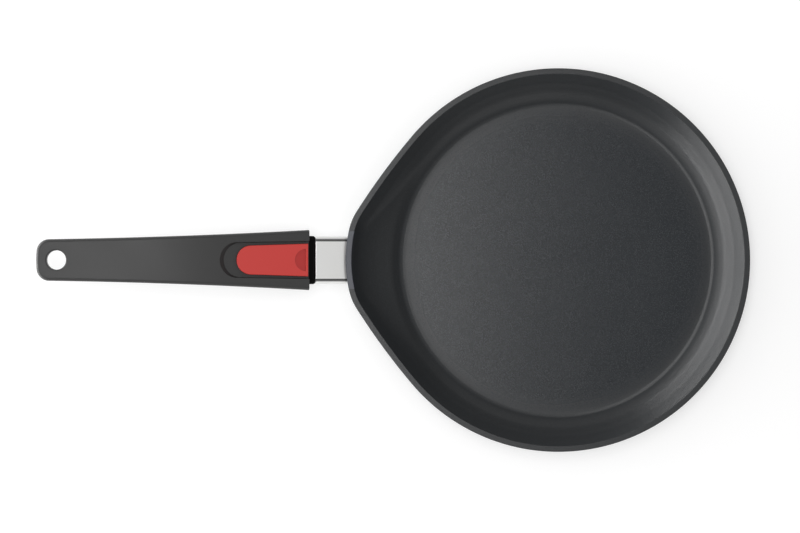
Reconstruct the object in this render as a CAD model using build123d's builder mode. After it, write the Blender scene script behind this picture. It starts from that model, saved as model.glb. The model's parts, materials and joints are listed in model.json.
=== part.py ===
from build123d import *
import math
import os

os.makedirs("parts", exist_ok=True)

# Frame: the origin is the centre of the pan's base, +Z up, and the handle points along -X.
# The handle's own axis starts at the middle of the grip's mouth and climbs away from the pan.
# Distances along that axis are positive towards the pan.

# Pan, seen from above
rim_radius = 140.0
rim_width = 4.4
nose_rise = 15.2
nose_radius = 102.8
nose_half_angle = 12.0
corner_radius = 43.6
flank_radius = 506.0
wall_flare = 23.5
hollow_flare = 21.6

# Pan, seen from the side
rim_height = 27.0
floor_thickness = 7.0
rim_edge_radius = 0.5
rim_edge_steps = 3

# Levels of the wall as shares of its height, of its spread and of the nose
outer_level_shares = [
    (0.00, 0.00, 0.00),
    (0.05, 0.12, 0.02),
    (0.12, 0.24, 0.10),
    (0.22, 0.36, 0.25),
    (0.34, 0.47, 0.52),
    (0.48, 0.60, 0.78),
    (0.64, 0.73, 0.94),
    (0.82, 0.87, 0.98),
    (1.00, 1.00, 1.00),
]
hollow_level_shares = [
    (0.00, 0.00, 0.00),
    (0.03, 0.10, 0.00),
    (0.09, 0.20, 0.02),
    (0.17, 0.30, 0.09),
    (0.26, 0.40, 0.32),
    (0.37, 0.50, 0.60),
    (0.49, 0.60, 0.82),
    (0.61, 0.70, 0.94),
    (0.74, 0.80, 0.99),
    (0.87, 0.90, 1.00),
    (1.00, 1.00, 1.00),
]

# Handle axis
neck_reach = 28.7
mouth_height = 21.5
neck_slope = 12.0

# Grip
grip_length = 196.0
bend_distance = 100.0
bend_radius = 430.0
bend_angle = 8.0
grip_top_rise = 12.5
grip_bottom_drop = 12.0
bend_top_rise = 11.6
bend_bottom_drop = 10.0
end_half_thickness = 7.0
grip_half_width = 22.1
grip_middle_half_width = 17.3
grip_end_half_width = 14.9
grip_end_bow = 1.5
grip_end_corner_radius = 9.0
grip_top_edge_radius = 2.6
grip_bottom_edge_radius = 5.0
hang_hole_radius = 7.0
hang_hole_inset = 14.2
hang_hole_edge_radius = 1.0

# Pocket in the grip's top and the button in it
pocket_half_width = 13.9
pocket_rear_half_width = 13.0
pocket_length = 66.5
pocket_rear_slope = 4.0
pocket_wall_slope = 0.5
pocket_floor_thickness = 1.5
button_length = 52.5
button_half_width = 11.9
button_rear_half_width = 10.5
button_setback = 0.8
button_thickness = 2.4
button_edge_radius = 0.5
thumb_recess_radius = 8.0
thumb_recess_inset = 1.8
thumb_recess_depth = 1.2
button_travel = 8.0

# Neck: sleeve, lug and tongue
sleeve_length = 26.2
boss_length = 20.0
boss_inset = 0.3
boss_bottom_rise = 5.6
sleeve_half_width = 17.3
sleeve_half_height = 7.5
sleeve_wall = 1.6
sleeve_corner_radius = 2.6
sleeve_groove_width = 1.2
sleeve_groove_depth = 0.7
sleeve_face_half_width = 14.0
sleeve_end_radius = 0.7
sleeve_screw_distance = 9.5
sleeve_screw_pitch = 9.0
tongue_half_width = 13.0
tongue_thickness = 5.0
tongue_centre_drop = 1.5
tongue_reach = 34.0
tongue_root = 25.0
tongue_corner_radius = 4.0
tongue_nose_bevel = 1.6
window_length = 8.0
window_half_width = 6.0
window_distance = 15.0

# Seal at the mouth
seal_depth = 5.0
seal_half_width = 17.6
seal_half_height = 7.8
seal_corner_radius = 3.0
seal_edge_radius = 0.9
seal_lip = 1.4
spigot_wall = 1.3

# Cartridge in the grip
socket_half_width = 15.0
socket_length = 62.0
socket_bottom_wall = 1.8
socket_middle_wall = 1.2
socket_rear_wall = 2.4
socket_corner_radius = 1.0
tongue_channel_length = 36.5
chamber_half_width = 11.0
chamber_height = 4.4
chamber_front_wall = 4.0
cover_thickness = 0.8

# Slider under the button
carrier_length = 33.0
carrier_front = 11.0
carrier_beam_thickness = 1.5
rail_width = 3.8
rail_leg_length = 6.0
bridge_length = 6.0
bridge_gap = 4.0
wedge_length = 10.5
wedge_flat_length = 2.0
wedge_lift = 1.9
post_half_width = 2.5

# Catch leaf
leaf_thickness = 0.5
leaf_half_width = 5.0
leaf_tail = 8.0
leaf_ear_length = 3.0
leaf_ear_clearance = 0.6
tooth_length = 4.2
tooth_engagement = 1.6
tooth_gap = 0.7

# Anti-rattle leaf
rattle_leaf_thickness = 0.4
rattle_leaf_length = 24.0
rattle_leaf_half_width = 4.0
rattle_leaf_bow = 0.6
rattle_leaf_tab = 1.0
rattle_leaf_distance = 6.0

# Return springs and their rods
spring_wire_radius = 0.2
spring_mean_radius = 1.35
spring_turns = 8
rod_radius = 0.7
rod_reach = 13.0

# Screws and rivets
lug_screw_radius = 2.0
lug_screw_head_radius = 3.6
lug_screw_drive_radius = 1.4
cover_screw_radius = 0.8
cover_screw_head_radius = 1.4
cover_screw_drive_radius = 0.5
cover_screw_length = 4.0
cover_screw_inset = 8.0
socket_screw_radius = 1.5
socket_screw_head_radius = 2.8
socket_screw_head_height = 1.4
socket_screw_drive_radius = 1.2
socket_screw_floor = 2.1
socket_screw_bite = 6.0
socket_screw_inset = 13.0
socket_screw_half_pitch = 7.5
button_screw_radius = 0.9
button_screw_head_radius = 1.6
button_screw_head_height = 0.8
button_screw_drive_radius = 0.7
button_screw_bite = 1.5
rivet_radius = 1.1
rivet_head_radius = 1.9
rivet_head_height = 0.7
rivet_bite = 2.0
rivet_half_pitch = 2.6

# Clearances and overruns
fit_gap = 0.1
slide_gap = 0.3
fine_gap = 0.05
overrun = 2.0

nose_reach = rim_radius + nose_rise
mouth_distance = nose_reach + neck_reach
slope = math.radians(neck_slope)
bend = math.radians(bend_angle)
along = Vector(math.cos(slope), 0, -math.sin(slope))
upward = Vector(math.sin(slope), 0, math.cos(slope))
mouth = Vector(-mouth_distance, 0, mouth_height)
across = Plane(origin=mouth, x_dir=(0, 1, 0), z_dir=along)
deck = Plane(origin=mouth, x_dir=along, z_dir=upward)
side = Plane(origin=mouth, x_dir=along, z_dir=(0, -1, 0))

# Rim outline: the round rim, a long flank arc, a corner arc and the nose arc, all tangent
nose_turn = math.radians(nose_half_angle)
nose_centre = Vector(nose_reach - nose_radius, 0)
nose_end = Vector(math.cos(nose_turn), math.sin(nose_turn))
corner_centre = nose_centre + nose_end * (nose_radius - corner_radius)
flank_offset = flank_radius - rim_radius
flank_bearing = math.acos(
    (flank_offset**2 + corner_centre.length**2 - (flank_radius - corner_radius) ** 2)
    / (2 * flank_offset * corner_centre.length)
)
flank_turn = math.atan2(corner_centre.Y, corner_centre.X) - flank_bearing
flank_centre = Vector(math.cos(flank_turn), math.sin(flank_turn)) * flank_offset
corner_line = corner_centre - flank_centre
corner_turn = math.atan2(corner_line.Y, corner_line.X)
rim_turn = flank_turn + math.pi
wall_height = rim_height - rim_edge_radius
hollow_radius = rim_radius - rim_width
outline_arcs = [
    (nose_centre, nose_radius, 0.0, nose_turn),
    (corner_centre, corner_radius, nose_turn, corner_turn),
    (flank_centre, flank_radius, corner_turn, rim_turn),
]


def level(height, radius, nose_share=1.0):
    """The pan's outline at one height: the rim's arcs, drawn in towards a plain circle."""
    with BuildSketch(Plane.XY.offset(height)) as sketch:
        with BuildLine():
            half_turn = 180.0 - math.degrees(rim_turn)
            CenterArc((0, 0), radius, -half_turn, 2 * half_turn)
            for centre, arc_radius, start, end in outline_arcs:
                radius_here = radius - nose_share * (rim_radius - arc_radius)
                place = centre * nose_share
                first = math.degrees(start)
                turn = math.degrees(end - start)
                if start == 0.0:
                    CenterArc((-place.X, 0), radius_here, 180 - turn, 2 * turn)
                else:
                    CenterArc((-place.X, place.Y), radius_here, 180 - first - turn, turn)
                    CenterArc((-place.X, -place.Y), radius_here, 180 + first, turn)
        make_face()
    return sketch.sketch


def outer_levels(clearance=0.0):
    """The outlines of the pan's outside, from the base to where the rim's edge turns over."""
    return [
        level(height * wall_height, rim_radius - wall_flare * (1 - radius) + clearance, nose)
        for height, radius, nose in outer_level_shares
    ]


def hollow_levels():
    """The outlines of the pan's hollow, from the cooking floor to where the rim's edge turns over."""
    return [
        level(
            floor_thickness + height * (wall_height - floor_thickness),
            hollow_radius - hollow_flare * (1 - radius),
            nose,
        )
        for height, radius, nose in hollow_level_shares
    ]


def edge_levels(radius, inset):
    """The outlines that round one edge of the rim over, at even turns of a quarter circle."""
    turns = [math.pi / 2 * step / rim_edge_steps for step in range(rim_edge_steps + 1)]
    return [
        level(wall_height + rim_edge_radius * math.sin(turn), radius - inset * (1 - math.cos(turn)))
        for turn in turns
    ]


def bar(start, length, half_width, low, high, mode=Mode.ADD):
    """A square bar along the handle's axis, between two heights."""
    with BuildSketch(across.offset(start)) as section:
        with Locations((0, (low + high) / 2)):
            Rectangle(2 * half_width, high - low)
    extrude(section.sketch, amount=length, mode=mode)


def plate(low, high, start, end, half_width, centre=0.0, mode=Mode.ADD):
    """A flat block between two heights above the handle's axis and two distances along it."""
    with BuildSketch(deck.offset(low)) as outline:
        with Locations(((start + end) / 2, centre)):
            Rectangle(abs(end - start), 2 * half_width)
    extrude(outline.sketch, amount=high - low, mode=mode)


def pin(low, high, radius, places, mode=Mode.ADD):
    """Round pins or holes square to the handle's axis, between two heights."""
    with BuildSketch(deck.offset(low)) as ends:
        with Locations(*places):
            Circle(radius)
    extrude(ends.sketch, amount=high - low, mode=mode)


def cone(low, high, low_radius, high_radius, places, mode=Mode.ADD):
    """Tapered pins or holes square to the handle's axis."""
    for distance, offset in places:
        with BuildSketch(deck.offset(low)) as low_end:
            with Locations((distance, offset)):
                Circle(low_radius)
        with BuildSketch(deck.offset(high)) as high_end:
            with Locations((distance, offset)):
                Circle(high_radius)
        loft([low_end.sketch, high_end.sketch], mode=mode)


def socket(face, radius, places, downwards=False):
    """Six-sided driver sockets, cut from one height upwards or downwards."""
    with BuildSketch(deck.offset(face)) as ends:
        with Locations(*places):
            RegularPolygon(radius, 6)
    extrude(ends.sketch, amount=-radius if downwards else radius, mode=Mode.SUBTRACT)


def bend_point(rise):
    """Where the grip's outline turns, a given height above its spine, in the side view."""
    return (-bend_distance - rise * math.tan(bend / 2), rise)


def end_point(rise, past_end=overrun):
    """A point a given height above the spine's end in the side view, moved on past the end."""
    reach = grip_length - bend_distance + past_end
    return (
        -bend_distance - reach * math.cos(bend) - rise * math.sin(bend),
        -reach * math.sin(bend) + rise * math.cos(bend),
    )


def side_place(point):
    """A point of the side view as a place in the model."""
    return side.from_local_coords(Vector(*point))


# Heights above the handle's axis, from the tongue upwards
tongue_top = tongue_thickness / 2 - tongue_centre_drop
tongue_bottom = -tongue_thickness / 2 - tongue_centre_drop
channel_top = tongue_top + slide_gap
channel_bottom = tongue_bottom - slide_gap - rattle_leaf_bow - rattle_leaf_thickness
socket_bottom = channel_bottom - socket_bottom_wall
chamber_bottom = channel_top + socket_middle_wall
chamber_top = chamber_bottom + chamber_height
socket_top = chamber_top + cover_thickness
pocket_floor = socket_top + fit_gap + pocket_floor_thickness
button_bottom = pocket_floor + slide_gap
button_top = button_bottom + button_thickness
beam_top = chamber_top - fit_gap
beam_bottom = beam_top - carrier_beam_thickness
carrier_bottom = chamber_bottom + fit_gap

# Distances along the axis
socket_rear = -socket_length
chamber_front = -chamber_front_wall
chamber_rear = socket_rear + socket_rear_wall
carrier_start = -carrier_front
carrier_end = carrier_start - carrier_length
rail_centre = chamber_half_width - fit_gap - rail_width / 2
rear_bridge = carrier_end
front_bridge = rear_bridge + bridge_length + bridge_gap
button_front = -button_setback
button_rear = button_front - button_length
window_front = -window_distance
window_rear = window_front - window_length
post_places = [(front_bridge + bridge_length / 2, 0.0), (rear_bridge + bridge_length / 2, 0.0)]
slot_front = front_bridge + bridge_length + slide_gap
slot_rear = rear_bridge - button_travel - slide_gap
slot_half_width = post_half_width + slide_gap

neck_axis = Axis(mouth, along)
spine_end = side_place(end_point(0, 0))
spine_chord = (spine_end - mouth).normalized()
grip_front = (mouth + upward * grip_top_rise).X + overrun
grip_end = spine_end.X
spigot_half_width = tongue_half_width + slide_gap + spigot_wall
spigot_bottom = channel_bottom - spigot_wall
spigot_top = channel_top + spigot_wall
spring_front = carrier_end - spring_wire_radius - fine_gap
spring_rear = chamber_rear + spring_wire_radius + fine_gap
rod_height = (carrier_bottom + chamber_top) / 2
rod_seat = socket_rear + socket_rear_wall / 3
rail_offsets = (-rail_centre, rail_centre)
thumb_recess_front = button_front - thumb_recess_inset
tooth_front = window_front - tooth_gap
tooth_rear = tooth_front - tooth_length
tooth_bottom = tongue_top - tooth_engagement
ear_front = carrier_start - wedge_length - leaf_ear_clearance
ear_half_width = rail_centre + rail_width / 4
rattle_front = -rattle_leaf_distance
rattle_rear = rattle_front - rattle_leaf_length
cover_screw_neck = socket_top - cover_screw_head_radius + cover_screw_radius
screw_seat = socket_bottom - socket_screw_floor
cover_line = (chamber_half_width + socket_half_width) / 2
cover_screw_places = [
    (distance, offset)
    for distance in (-cover_screw_inset, cover_screw_inset - socket_length)
    for offset in (-cover_line, cover_line)
]
socket_screw_places = [
    (socket_screw_inset - socket_length, offset)
    for offset in (-socket_screw_half_pitch, socket_screw_half_pitch)
]
rivet_places = [(chamber_rear + leaf_tail / 2, offset) for offset in (-rivet_half_pitch, rivet_half_pitch)]
hang_centre = side_place(end_point(0, -hang_hole_inset))
hang_up = side.y_dir * math.cos(bend) - side.x_dir * math.sin(bend)
hang_plane = Plane(origin=hang_centre, x_dir=(0, 1, 0), z_dir=hang_up)


def pocket_outline(height):
    """The pocket's outline at one height: straight sides, and a round rear end that leans outwards."""
    rise = (height - pocket_floor) / (grip_top_rise - pocket_floor)
    widening = pocket_wall_slope * (rise - 1)
    rear = -pocket_length - pocket_rear_slope * (rise - 1)
    rear_half_width = pocket_rear_half_width + widening
    front_half_width = pocket_half_width + widening
    front = 2 * overrun
    with BuildSketch(deck.offset(height)) as sketch:
        with BuildLine():
            Polyline(
                (rear + rear_half_width, rear_half_width),
                (front, front_half_width),
                (front, -front_half_width),
                (rear + rear_half_width, -rear_half_width),
            )
            ThreePointArc(
                (rear + rear_half_width, -rear_half_width),
                (rear, 0),
                (rear + rear_half_width, rear_half_width),
            )
        make_face()
    return sketch.sketch


def boss_section(distance, bottom_rise):
    """The cast boss's section behind the sleeve: the sleeve's outline, drawn in and raised."""
    half_width = sleeve_half_width - boss_inset
    half_height = sleeve_half_height - boss_inset
    with BuildSketch(across.offset(distance)) as section:
        with Locations((0, bottom_rise / 2)):
            RectangleRounded(2 * half_width, 2 * half_height - bottom_rise, sleeve_corner_radius)
    return section.sketch


def rod(start, end, radius, mode=Mode.ADD):
    """Two round rods or holes along the handle's axis, one behind each rail."""
    with BuildSketch(across.offset(start)) as ends:
        with Locations(*((offset, rod_height) for offset in rail_offsets)):
            Circle(radius)
    extrude(ends.sketch, amount=end - start, mode=mode)


def coil_point(offset, turn):
    """A point of the spring's wire and the wire's direction there, some turns from its front end."""
    angle = 2 * math.pi * turn
    pitch = (spring_front - spring_rear) / spring_turns
    place = across.from_local_coords(
        Vector(
            offset + spring_mean_radius * math.cos(angle),
            rod_height + spring_mean_radius * math.sin(angle),
            spring_front - pitch * turn,
        )
    )
    direction = (
        across.y_dir * math.cos(angle) - across.x_dir * math.sin(angle)
    ) * 2 * math.pi * spring_mean_radius - across.z_dir * pitch
    return place, direction.normalized()


def coil_biarcs(offset):
    """Each quarter turn of a spring as two arcs that meet in one direction."""
    for quarter in range(4 * spring_turns):
        start, leaving = coil_point(offset, quarter / 4)
        end, arriving = coil_point(offset, (quarter + 1) / 4)
        chord = end - start
        both = leaving + arriving
        turning = 2 * (1 - leaving.dot(arriving))
        reach = math.sqrt(chord.dot(both) ** 2 + turning * chord.dot(chord)) - chord.dot(both)
        reach = reach / turning
        joint = (start + end + (leaving - arriving) * reach) / 2
        joint_direction = (joint - start - leaving * reach).normalized()
        yield start, joint, end, leaving, joint_direction


def coil_gap(points_per_turn=90):
    """The least gap between neighbouring turns of a spring's wire, measured on points."""
    turns = [coil_point(0, step / points_per_turn)[0] for step in range(spring_turns * points_per_turn)]
    gaps = [
        (turns[first] - turns[second]).length
        for first in range(points_per_turn)
        for second in range(first + points_per_turn // 2, first + 2 * points_per_turn)
    ]
    return min(gaps) - 2 * spring_wire_radius


def chord_height(edge):
    """How high an edge's middle lies above the straight line from the grip's mouth to its end."""
    reach = edge.center() - mouth
    return reach.Z - spine_chord.Z * reach.dot(spine_chord)


def long_edges(part, above):
    """The grip's edges along its length, either above that line or below it."""
    front = part.faces().sort_by(neck_axis)[-1].edges()
    square = part.edges().filter_by(Axis.Y) + part.edges().filter_by(Axis.Z)
    runs = part.edges() - square - front
    return [edge for edge in runs if (chord_height(edge) > 0) == above]


lug_half_width = sleeve_half_width - sleeve_wall - fit_gap
lug_half_height = sleeve_half_height - sleeve_wall - fit_gap
sleeve_start = seal_depth + slide_gap
lug_start = sleeve_start + fit_gap
boss_start = sleeve_start + sleeve_length + fine_gap
lug_screw_places = [
    (sleeve_start + sleeve_screw_distance - sleeve_screw_pitch / 2, 0.0),
    (sleeve_start + sleeve_screw_distance + sleeve_screw_pitch / 2, 0.0),
]
lug_screw_cone = lug_screw_head_radius - lug_screw_radius

# Pan
with BuildPart() as pan_body:
    loft(outer_levels())
    loft(edge_levels(rim_radius, rim_edge_radius), ruled=True)
    bar(lug_start, sleeve_length + fit_gap, lug_half_width, -lug_half_height, lug_half_height)
    loft([boss_section(boss_start, 0), boss_section(boss_start + boss_length, boss_bottom_rise)])
    loft(hollow_levels(), mode=Mode.SUBTRACT)
    loft(edge_levels(hollow_radius, -rim_edge_radius), ruled=True, mode=Mode.SUBTRACT)
    plate(
        tongue_bottom - fit_gap,
        tongue_top + fit_gap,
        lug_start - overrun,
        tongue_root + fit_gap,
        tongue_half_width + fit_gap,
        mode=Mode.SUBTRACT,
    )
    pin(
        -lug_half_height - overrun,
        tongue_bottom,
        lug_screw_radius + fit_gap,
        lug_screw_places,
        mode=Mode.SUBTRACT,
    )
pan_body.part.label = "pan_body"

# Room for the pan's wall, which cuts the sleeve's end to the wall's curve
with BuildPart() as wall_room:
    loft(outer_levels(slide_gap))

# Neck sleeve
with BuildPart() as neck_sleeve:
    with BuildSketch(across.offset(sleeve_start)):
        RectangleRounded(2 * sleeve_half_width, 2 * sleeve_half_height, sleeve_corner_radius)
    extrude(amount=sleeve_length)
    fillet(neck_sleeve.faces().sort_by(neck_axis)[0].edges(), sleeve_end_radius)
    bar(
        sleeve_start - overrun,
        sleeve_length + 2 * overrun,
        sleeve_half_width - sleeve_wall,
        sleeve_wall - sleeve_half_height,
        sleeve_half_height - sleeve_wall,
        mode=Mode.SUBTRACT,
    )
    for edge in (-1, 1):
        for face in (-1, 1):
            groove_floor = sleeve_half_height - sleeve_groove_depth
            plate(
                min(face * groove_floor, face * (sleeve_half_height + overrun)),
                max(face * groove_floor, face * (sleeve_half_height + overrun)),
                sleeve_start - overrun,
                sleeve_start + sleeve_length + overrun,
                sleeve_groove_width / 2,
                centre=edge * (sleeve_face_half_width + sleeve_groove_width / 2),
                mode=Mode.SUBTRACT,
            )
    cone(
        -sleeve_half_height,
        lug_screw_cone - sleeve_half_height,
        lug_screw_head_radius + fine_gap,
        lug_screw_radius + fine_gap,
        lug_screw_places,
        mode=Mode.SUBTRACT,
    )
    pin(
        lug_screw_cone - sleeve_half_height,
        0,
        lug_screw_radius + fine_gap,
        lug_screw_places,
        mode=Mode.SUBTRACT,
    )
    add(wall_room.part, mode=Mode.SUBTRACT)
neck_sleeve.part.label = "neck_sleeve"

# Tongue
with BuildPart() as tongue:
    plate(tongue_bottom, tongue_top, -tongue_reach, tongue_root, tongue_half_width)
    tip_corners = tongue.edges().filter_by(Axis(mouth, upward)).group_by(neck_axis)[0]
    fillet(tip_corners, tongue_corner_radius)
    tip = tongue.faces().sort_by(neck_axis)[0]
    chamfer(tip.edges().sort_by(Axis(mouth, upward))[-1], tongue_nose_bevel)
    plate(
        tongue_bottom - overrun,
        tongue_top + overrun,
        window_rear,
        window_front,
        window_half_width,
        mode=Mode.SUBTRACT,
    )
    pin(
        tongue_bottom - overrun,
        tongue_top + overrun,
        lug_screw_radius + fine_gap,
        lug_screw_places,
        mode=Mode.SUBTRACT,
    )
tongue.part.label = "tongue"

# Lug screws
with BuildPart() as lug_screws:
    cone(
        -sleeve_half_height,
        lug_screw_cone - sleeve_half_height,
        lug_screw_head_radius,
        lug_screw_radius,
        lug_screw_places,
    )
    pin(lug_screw_cone - sleeve_half_height, tongue_top, lug_screw_radius, lug_screw_places)
    socket(-sleeve_half_height, lug_screw_drive_radius, lug_screw_places)
lug_screws.part.label = "lug_screws"

# Seal at the grip's mouth
with BuildPart() as mouth_seal:
    with BuildSketch(across):
        RectangleRounded(2 * seal_half_width, 2 * seal_half_height, seal_corner_radius)
    extrude(amount=seal_depth)
    fillet(mouth_seal.faces().sort_by(neck_axis)[-1].edges(), seal_edge_radius)
    bar(
        -overrun,
        overrun + seal_depth - seal_lip,
        spigot_half_width + fine_gap,
        spigot_bottom - fine_gap,
        spigot_top + fine_gap,
        mode=Mode.SUBTRACT,
    )
    bar(
        0,
        seal_depth + overrun,
        tongue_half_width + slide_gap,
        tongue_bottom - slide_gap,
        tongue_top + slide_gap,
        mode=Mode.SUBTRACT,
    )
mouth_seal.part.label = "mouth_seal"

# Grip: its side view and its plan view cut from each other, then rounded
with BuildPart() as grip:
    with BuildSketch(side):
        with BuildLine():
            top_line = FilletPolyline(
                (0, grip_top_rise),
                bend_point(bend_top_rise),
                end_point(end_half_thickness),
                radius=bend_radius,
            )
            bottom_line = FilletPolyline(
                (0, -grip_bottom_drop),
                bend_point(-bend_bottom_drop),
                end_point(-end_half_thickness),
                radius=bend_radius,
            )
            Line(top_line @ 0, bottom_line @ 0)
            Line(top_line @ 1, bottom_line @ 1)
        make_face()
    extrude(amount=grip_half_width + overrun, both=True)
    with BuildSketch() as grip_plan:
        with BuildLine():
            flank = ThreePointArc(
                (grip_front, grip_half_width),
                ((grip_front + grip_end) / 2, grip_middle_half_width),
                (grip_end + grip_end_bow, grip_end_half_width),
            )
            mirror(about=Plane.XZ)
            ThreePointArc(flank @ 1, (grip_end, 0), (grip_end + grip_end_bow, -grip_end_half_width))
            Line((grip_front, grip_half_width), (grip_front, -grip_half_width))
        make_face()
        fillet(grip_plan.vertices().group_by(Axis.X)[0], grip_end_corner_radius)
    extrude(amount=mouth_height + grip_length, mode=Mode.INTERSECT)
    fillet(long_edges(grip, above=True), grip_top_edge_radius)
    fillet(long_edges(grip, above=False), grip_bottom_edge_radius)
    with BuildSketch(hang_plane) as hang_hole:
        Circle(hang_hole_radius)
    extrude(hang_hole.sketch, amount=grip_length, both=True, mode=Mode.SUBTRACT)
    hole_wall = grip.faces().filter_by(GeomType.CYLINDER).sort_by_distance(hang_centre)[0]
    fillet(hole_wall.edges().filter_by(GeomType.ELLIPSE), hang_hole_edge_radius)
    loft([pocket_outline(pocket_floor), pocket_outline(grip_top_rise + overrun)], mode=Mode.SUBTRACT)
    plate(
        socket_bottom - fit_gap,
        socket_top + fit_gap,
        socket_rear - fit_gap,
        overrun,
        socket_half_width + fit_gap,
        mode=Mode.SUBTRACT,
    )
    plate(socket_top, pocket_floor + overrun, slot_rear, slot_front, slot_half_width, mode=Mode.SUBTRACT)
    pin(
        -grip_bottom_drop - overrun,
        screw_seat,
        socket_screw_head_radius + fit_gap,
        socket_screw_places,
        mode=Mode.SUBTRACT,
    )
    pin(screw_seat, socket_bottom, socket_screw_radius + fit_gap, socket_screw_places, mode=Mode.SUBTRACT)
grip.part.label = "grip"

# Cartridge in the grip: tongue channel below, slider chamber above
with BuildPart() as socket_body:
    plate(socket_bottom, chamber_top, socket_rear, 0, socket_half_width)
    fillet(socket_body.edges().filter_by(Axis(mouth, upward)), socket_corner_radius)
    bar(0, seal_depth - seal_lip - fit_gap, spigot_half_width, spigot_bottom, spigot_top)
    bar(
        -tongue_channel_length,
        tongue_channel_length + seal_depth,
        tongue_half_width + slide_gap,
        channel_bottom,
        channel_top,
        mode=Mode.SUBTRACT,
    )
    plate(
        chamber_bottom,
        chamber_top + overrun,
        chamber_rear,
        chamber_front,
        chamber_half_width,
        mode=Mode.SUBTRACT,
    )
    plate(
        channel_top - fit_gap,
        chamber_bottom + fit_gap,
        window_rear,
        window_front,
        window_half_width,
        mode=Mode.SUBTRACT,
    )
    for tab in (rattle_rear, rattle_front - rattle_leaf_thickness):
        plate(
            channel_bottom - rattle_leaf_tab - fit_gap,
            channel_top,
            tab - fit_gap,
            tab + rattle_leaf_thickness + fit_gap,
            rattle_leaf_half_width + fit_gap,
            mode=Mode.SUBTRACT,
        )
    pin(
        chamber_top - cover_screw_length,
        chamber_top,
        cover_screw_radius + fine_gap,
        cover_screw_places,
        mode=Mode.SUBTRACT,
    )
    pin(
        socket_bottom,
        socket_bottom + socket_screw_bite,
        socket_screw_radius + fine_gap,
        socket_screw_places,
        mode=Mode.SUBTRACT,
    )
    pin(
        chamber_bottom - rivet_bite,
        chamber_bottom,
        rivet_radius + fine_gap,
        rivet_places,
        mode=Mode.SUBTRACT,
    )
    rod(rod_seat, chamber_rear, rod_radius + fine_gap, mode=Mode.SUBTRACT)
socket_body.part.label = "socket_body"

# Steel cover of the slider chamber
with BuildPart() as slide_cover:
    plate(chamber_top, socket_top, socket_rear, 0, socket_half_width)
    fillet(slide_cover.edges().filter_by(Axis(mouth, upward)), socket_corner_radius)
    plate(
        chamber_top - overrun,
        socket_top + overrun,
        slot_rear,
        slot_front,
        slot_half_width,
        mode=Mode.SUBTRACT,
    )
    pin(
        chamber_top - overrun,
        cover_screw_neck,
        cover_screw_radius + fine_gap,
        cover_screw_places,
        mode=Mode.SUBTRACT,
    )
    cone(
        cover_screw_neck,
        socket_top,
        cover_screw_radius + fine_gap,
        cover_screw_head_radius + fine_gap,
        cover_screw_places,
        mode=Mode.SUBTRACT,
    )
slide_cover.part.label = "slide_cover"

with BuildPart() as cover_screws:
    pin(chamber_top - cover_screw_length, cover_screw_neck, cover_screw_radius, cover_screw_places)
    cone(cover_screw_neck, socket_top, cover_screw_radius, cover_screw_head_radius, cover_screw_places)
    socket(socket_top, cover_screw_drive_radius, cover_screw_places, downwards=True)
cover_screws.part.label = "cover_screws"

with BuildPart() as socket_screws:
    pin(
        screw_seat - socket_screw_head_height,
        screw_seat,
        socket_screw_head_radius,
        socket_screw_places,
    )
    pin(screw_seat, socket_bottom + socket_screw_bite, socket_screw_radius, socket_screw_places)
    socket(screw_seat - socket_screw_head_height, socket_screw_drive_radius, socket_screw_places)
socket_screws.part.label = "socket_screws"

# Bowed leaf under the tongue, its ends bent down in the channel's floor
with BuildPart() as anti_rattle_spring:
    low = channel_bottom
    high = channel_bottom + rattle_leaf_thickness
    middle = (rattle_front + rattle_rear) / 2
    with BuildSketch(side) as leaf_side:
        with BuildLine():
            ThreePointArc((rattle_front, high), (middle, high + rattle_leaf_bow), (rattle_rear, high))
            Polyline(
                (rattle_rear, high),
                (rattle_rear, low - rattle_leaf_tab),
                (rattle_rear + rattle_leaf_thickness, low - rattle_leaf_tab),
                (rattle_rear + rattle_leaf_thickness, low),
            )
            ThreePointArc(
                (rattle_rear + rattle_leaf_thickness, low),
                (middle, low + rattle_leaf_bow),
                (rattle_front - rattle_leaf_thickness, low),
            )
            Polyline(
                (rattle_front - rattle_leaf_thickness, low),
                (rattle_front - rattle_leaf_thickness, low - rattle_leaf_tab),
                (rattle_front, low - rattle_leaf_tab),
                (rattle_front, high),
            )
        make_face()
    extrude(leaf_side.sketch, amount=rattle_leaf_half_width, both=True)
anti_rattle_spring.part.label = "anti_rattle_spring"

# Catch leaf: riveted at its rear, with ears over the wedges and an open tooth at its front
with BuildPart() as catch_leaf:
    leaf_top = chamber_bottom + leaf_thickness
    plate(chamber_bottom, leaf_top, chamber_rear + fit_gap, tooth_rear, leaf_half_width)
    plate(chamber_bottom, leaf_top, ear_front - leaf_ear_length, ear_front, ear_half_width)
    with BuildSketch(side) as tooth_side:
        Polygon(
            (tooth_rear, leaf_top),
            (tooth_rear, tooth_bottom),
            (tooth_rear + 2 * leaf_thickness, tooth_bottom),
            (tooth_front, chamber_bottom),
            (tooth_front, leaf_top),
            align=None,
        )
        Polygon(
            (tooth_rear + leaf_thickness, leaf_top),
            (tooth_rear + leaf_thickness, tooth_bottom + leaf_thickness),
            (tooth_front - leaf_thickness, leaf_top),
            align=None,
            mode=Mode.SUBTRACT,
        )
    extrude(tooth_side.sketch, amount=leaf_half_width, both=True)
    pin(
        chamber_bottom - overrun,
        leaf_top + overrun,
        rivet_radius + fine_gap,
        rivet_places,
        mode=Mode.SUBTRACT,
    )
catch_leaf.part.label = "catch_leaf"

with BuildPart() as leaf_rivets:
    pin(chamber_bottom - rivet_bite, chamber_bottom + leaf_thickness, rivet_radius, rivet_places)
    cone(
        chamber_bottom + leaf_thickness,
        chamber_bottom + leaf_thickness + rivet_head_height,
        rivet_head_radius,
        rivet_radius,
        rivet_places,
    )
leaf_rivets.part.label = "leaf_rivets"

# Rods in the cartridge's rear wall and the coil springs round them
with BuildPart() as guide_rods:
    rod(rod_seat, chamber_rear + rod_reach, rod_radius)
guide_rods.part.label = "guide_rods"

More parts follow.
